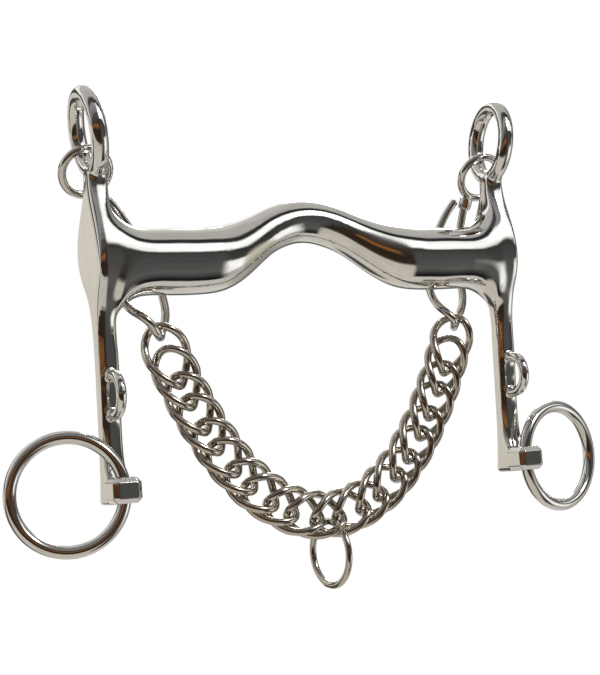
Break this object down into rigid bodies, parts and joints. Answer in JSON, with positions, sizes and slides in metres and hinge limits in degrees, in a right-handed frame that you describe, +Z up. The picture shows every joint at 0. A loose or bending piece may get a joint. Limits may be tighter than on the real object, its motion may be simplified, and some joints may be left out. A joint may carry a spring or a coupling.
{
  "type": "curb bit",
  "caption": "Fixed-cheek curb bit with a wide low port, loose rein rings, lip strap loops, curb hooks and a double-link curb chain with a fly ring.",
  "frame": {"origin": "on the mouthpiece axis, midway between the two cheeks", "axes": "+Z up along the cheeks towards the eyes, X along the mouthpiece with -X at the viewer's left, -Y to the front, the side of the rein ring keepers"},
  "size_m": [0.1968, 0.0238, 0.149],
  "materials": {
    "mouthpiece_steel": "mirror-polished stainless steel",
    "cheek_steel": "mirror-polished stainless steel",
    "ring_steel": "mirror-polished stainless steel",
    "hook_steel": "polished stainless steel wire",
    "chain_steel": "tumble-polished stainless steel wire"
  },
  "bodies": {
    "frame": {"mouthpiece": "mouthpiece_steel", "cheek_left": "cheek_steel", "cheek_right": "cheek_steel", "rein_ring_keeper_left": "cheek_steel", "rein_ring_keeper_right": "cheek_steel", "lip_strap_loop_left": "cheek_steel", "lip_strap_loop_right": "cheek_steel"},
    "rein_ring_left": {"rein_ring_left": "ring_steel"},
    "rein_ring_right": {"rein_ring_right": "ring_steel"},
    "hook_left": {"curb_hook_left": "hook_steel"},
    "hook_right": {"curb_hook_right": "hook_steel"},
    "link_01": {"chain_link_01": "chain_steel"},
    "link_02": {"chain_link_02": "chain_steel"},
    "link_03": {"chain_link_03": "chain_steel"},
    "link_04": {"chain_link_04": "chain_steel"},
    "link_05": {"chain_link_05": "chain_steel"},
    "link_06": {"chain_link_06": "chain_steel"},
    "link_07": {"chain_link_07": "chain_steel"},
    "link_08": {"chain_link_08": "chain_steel"},
    "link_09": {"chain_link_09": "chain_steel"},
    "link_10": {"chain_link_10": "chain_steel"},
    "link_11": {"chain_link_11": "chain_steel"},
    "link_12": {"chain_link_12": "chain_steel"},
    "link_13": {"chain_link_13": "chain_steel"},
    "link_14": {"chain_link_14": "chain_steel"},
    "link_15": {"chain_link_15": "chain_steel"},
    "link_16": {"chain_link_16": "chain_steel"},
    "link_17": {"chain_link_17": "chain_steel"},
    "link_18": {"chain_link_18": "chain_steel"},
    "link_19": {"chain_link_19": "chain_steel"},
    "link_20": {"chain_link_20": "chain_steel"},
    "fly_ring": {"fly_ring": "chain_steel"}
  },
  "joints": [
    {"name": "rein_ring_left_swivel", "type": "hinge", "parent": "frame", "child": "rein_ring_left", "pos_m": [-0.0665, -0.0066, -0.0642], "axis": [0, 0, 1], "range_deg": [-8, 160]},
    {"name": "rein_ring_right_swivel", "type": "hinge", "parent": "frame", "child": "rein_ring_right", "pos_m": [0.0665, -0.0066, -0.0642], "axis": [0, 0, 1], "range_deg": [-160, 8]},
    {"name": "hook_left_swing", "type": "hinge", "parent": "frame", "child": "hook_left", "pos_m": [-0.0665, 0.00586, 0.02867], "axis": [1, 0, 0], "range_deg": [0, 38]},
    {"name": "hook_right_swing", "type": "hinge", "parent": "frame", "child": "hook_right", "pos_m": [0.0665, 0.00586, 0.02867], "axis": [1, 0, 0], "range_deg": [0, 38]},
    {"name": "link_01_rock", "type": "hinge", "parent": "hook_left", "child": "link_01", "pos_m": [-0.04739, 0.002, -0.02706], "axis": [0.3671, 0, -0.9302], "range_deg": [-3, 3]},
    {"name": "link_02_rock", "type": "hinge", "parent": "hook_left", "child": "link_02", "pos_m": [-0.04471, 0.002, -0.03353], "axis": [0.4004, 0, -0.9164], "range_deg": [-3, 3]},
    {"name": "link_03_rock", "type": "hinge", "parent": "hook_left", "child": "link_03", "pos_m": [-0.0412, 0.002, -0.04105], "axis": [0.4476, 0, -0.8943], "range_deg": [-3, 3]},
    {"name": "link_04_rock", "type": "hinge", "parent": "hook_left", "child": "link_04", "pos_m": [-0.0379, 0.002, -0.04722], "axis": [0.4955, 0, -0.8686], "range_deg": [-3, 3]},
    {"name": "link_05_rock", "type": "hinge", "parent": "hook_left", "child": "link_05", "pos_m": [-0.03351, 0.002, -0.05426], "axis": [0.5645, 0, -0.8254], "range_deg": [-3, 3]},
    {"name": "link_06_rock", "type": "hinge", "parent": "hook_left", "child": "link_06", "pos_m": [-0.02932, 0.002, -0.05987], "axis": [0.6348, 0, -0.7726], "range_deg": [-3, 3]},
    {"name": "link_07_rock", "type": "hinge", "parent": "hook_left", "child": "link_07", "pos_m": [-0.02365, 0.002, -0.06592], "axis": [0.7336, 0, -0.6796], "range_deg": [-3, 3]},
    {"name": "link_08_rock", "type": "hinge", "parent": "hook_left", "child": "link_08", "pos_m": [-0.01819, 0.002, -0.0703], "axis": [0.8265, 0, -0.563], "range_deg": [-3, 3]},
    {"name": "link_09_rock", "type": "hinge", "parent": "hook_left", "child": "link_09", "pos_m": [-0.01088, 0.002, -0.07419], "axis": [0.9315, 0, -0.3638], "range_deg": [-3, 3]},
    {"name": "link_10_rock", "type": "hinge", "parent": "hook_left", "child": "link_10", "pos_m": [-0.00414, 0.002, -0.07599], "axis": [0.9896, 0, -0.1438], "range_deg": [-3, 3]},
    {"name": "link_11_rock", "type": "hinge", "parent": "hook_left", "child": "link_11", "pos_m": [0.00414, 0.002, -0.07599], "axis": [0.9896, 0, 0.1438], "range_deg": [-3, 3]},
    {"name": "link_12_rock", "type": "hinge", "parent": "hook_left", "child": "link_12", "pos_m": [0.01088, 0.002, -0.07419], "axis": [0.9315, 0, 0.3638], "range_deg": [-3, 3]},
    {"name": "link_13_rock", "type": "hinge", "parent": "hook_left", "child": "link_13", "pos_m": [0.01819, 0.002, -0.0703], "axis": [0.8265, 0, 0.563], "range_deg": [-3, 3]},
    {"name": "link_14_rock", "type": "hinge", "parent": "hook_left", "child": "link_14", "pos_m": [0.02365, 0.002, -0.06592], "axis": [0.7336, 0, 0.6796], "range_deg": [-3, 3]},
    {"name": "link_15_rock", "type": "hinge", "parent": "hook_left", "child": "link_15", "pos_m": [0.02932, 0.002, -0.05987], "axis": [0.6348, 0, 0.7726], "range_deg": [-3, 3]},
    {"name": "link_16_rock", "type": "hinge", "parent": "hook_left", "child": "link_16", "pos_m": [0.03351, 0.002, -0.05426], "axis": [0.5645, 0, 0.8254], "range_deg": [-3, 3]},
    {"name": "link_17_rock", "type": "hinge", "parent": "hook_left", "child": "link_17", "pos_m": [0.0379, 0.002, -0.04722], "axis": [0.4955, 0, 0.8686], "range_deg": [-3, 3]},
    {"name": "link_18_rock", "type": "hinge", "parent": "hook_left", "child": "link_18", "pos_m": [0.0412, 0.002, -0.04105], "axis": [0.4476, 0, 0.8943], "range_deg": [-3, 3]},
    {"name": "link_19_rock", "type": "hinge", "parent": "hook_left", "child": "link_19", "pos_m": [0.04471, 0.002, -0.03353], "axis": [0.4004, 0, 0.9164], "range_deg": [-3, 3]},
    {"name": "link_20_rock", "type": "hinge", "parent": "hook_left", "child": "link_20", "pos_m": [0.04739, 0.002, -0.02706], "axis": [0.3671, 0, 0.9302], "range_deg": [-3, 3]},
    {"name": "fly_ring_swing", "type": "hinge", "parent": "hook_left", "child": "fly_ring", "pos_m": [0, 0.002, -0.08159], "axis": [1, 0, 0], "range_deg": [-3, 3]}
  ],
  "couplings": [
    {"joint": "hook_right_swing", "follows": "hook_left_swing", "ratio": 1}
  ]
}
